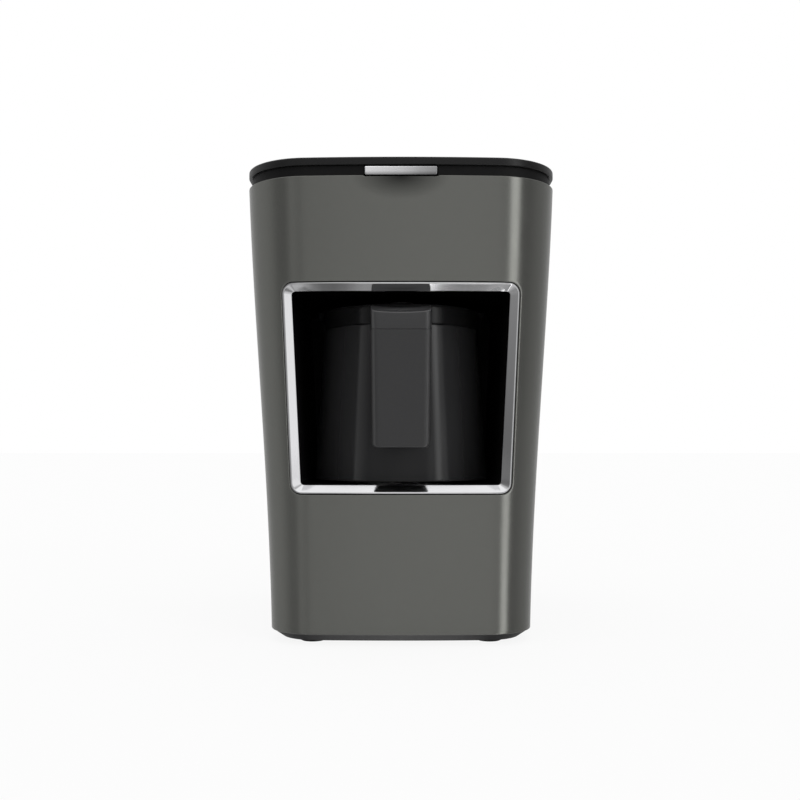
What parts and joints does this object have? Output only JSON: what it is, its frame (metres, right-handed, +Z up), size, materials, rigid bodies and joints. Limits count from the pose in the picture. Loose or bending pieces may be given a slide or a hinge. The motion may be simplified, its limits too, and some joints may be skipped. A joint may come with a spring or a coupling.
{
  "type": "electric turkish coffee maker",
  "caption": "Counter-top electric Turkish coffee maker: tapered body with a heated chamber and a conical pot that slides out, flat lid and push bar.",
  "frame": {"origin": "on the resting surface, below the centre of the object's box", "axes": "+Z up, -Y towards the user (the chamber opens to -Y), +X to the user's right"},
  "size_m": [0.1682, 0.202, 0.2562],
  "materials": {
    "satin_paint": "satin metallic anthracite paint on ABS",
    "black_gloss": "semi-gloss black",
    "black_satin": "fine satin black",
    "black_liner": "matte black",
    "chrome": "bright chrome plating",
    "rubber": "matte",
    "pot_gloss": "glossy black",
    "handle": "soft matte dark grey",
    "handle_cap": "satin dark grey",
    "steel": "brushed",
    "zinc_steel": "zinc plated",
    "aluminium": "brushed",
    "spring_steel": "bright wire",
    "circuit_board": "green solder mask",
    "component_black": "moulded",
    "component_white": "moulded",
    "component_blue": "moulded",
    "copper_tape": "yellow insulating tape",
    "silicone": "dark grey silicone",
    "ceramic": "glazed",
    "smoked_lens": "smoked infrared window",
    "lead_grey": "insulated lead"
  },
  "bodies": {
    "housing": {"front_shell": "satin_paint", "rear_cover": "black_satin", "base_plate": "black_satin", "foot_front_left": "rubber", "foot_front_right": "rubber", "foot_rear_left": "rubber", "foot_rear_right": "rubber", "base_screws": "zinc_steel", "rear_cover_screws": "zinc_steel", "cord_gland": "rubber", "lid_neck": "black_satin", "top_lid": "black_gloss", "lid_screws": "zinc_steel", "button_guide": "black_satin", "button_spring": "spring_steel", "start_switch": "component_black", "control_board": "circuit_board", "microcontroller": "component_black", "buzzer": "component_black", "control_board_plugs": "component_white", "chamber_liner": "black_liner", "liner_screws": "zinc_steel", "window_bezel": "chrome", "foam_sensor_housing": "component_black", "foam_sensor_lens": "smoked_lens", "foam_sensor_board": "circuit_board", "heating_plate": "aluminium", "heater_seal": "silicone", "heating_element": "steel", "heat_shield": "steel", "heater_screws": "zinc_steel", "temperature_sensor": "ceramic", "sensor_clip": "steel", "thermal_fuse": "ceramic", "fuse_bracket": "component_white", "power_board": "circuit_board", "transformer": "copper_tape", "relay": "component_blue", "capacitor": "component_black", "power_board_plugs": "component_white", "board_screws": "zinc_steel", "terminal_block": "component_white", "mains_leads": "lead_grey", "heater_leads": "lead_grey", "sensor_lead": "lead_grey", "signal_harness": "lead_grey"},
    "pot": {"pot_body": "pot_gloss", "pot_liner": "steel", "pot_base": "steel", "pot_collar": "pot_gloss", "pot_handle": "handle", "handle_cap": "handle_cap", "handle_screws": "zinc_steel"},
    "button": {"start_button": "chrome", "button_plunger": "component_black"}
  },
  "joints": [
    {"name": "pot_slide", "type": "slide", "parent": "housing", "child": "pot", "axis": [0, -1, 0], "range_m": [0, 0.15]},
    {"name": "start_press", "type": "slide", "parent": "housing", "child": "button", "axis": [0, 1, 0], "range_m": [0, 0.002], "stiffness_N_per_m": 600, "springref_m": -0.001, "deforming": ["button_spring"]}
  ]
}
